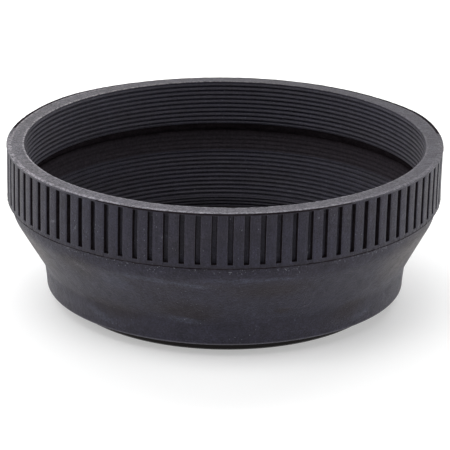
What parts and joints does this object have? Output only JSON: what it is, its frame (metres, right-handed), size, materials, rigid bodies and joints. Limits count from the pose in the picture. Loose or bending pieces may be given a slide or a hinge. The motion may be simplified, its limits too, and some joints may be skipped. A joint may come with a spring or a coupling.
{
  "type": "lens hood",
  "caption": "Collapsible rubber lens hood with a slotted front band, a fold-back cone, ribbed inner walls and a black metal ring with a male filter thread.",
  "frame": {"origin": "centre of the metal ring's rear face, on the optical axis", "axes": "+Z along the optical axis from the lens towards the subject; X and Y are across it, with the two spanner slots on the X axis"},
  "size_m": [0.07, 0.07, 0.0257],
  "materials": {
    "rubber": "matt moulded black rubber, a little greyed with age",
    "black_metal": "turned and black anodised"
  },
  "bodies": {
    "base": {"mount_ring": "black_metal", "retaining_ring": "black_metal", "rear_collar": "rubber", "fold_cone": "rubber"},
    "hood_front": {"front_band": "rubber"}
  },
  "joints": [
    {"name": "hood_fold", "type": "slide", "parent": "base", "child": "hood_front", "axis": [0, 0, -1], "range_m": [0, 0.0168], "deforming": ["fold_cone"]}
  ]
}
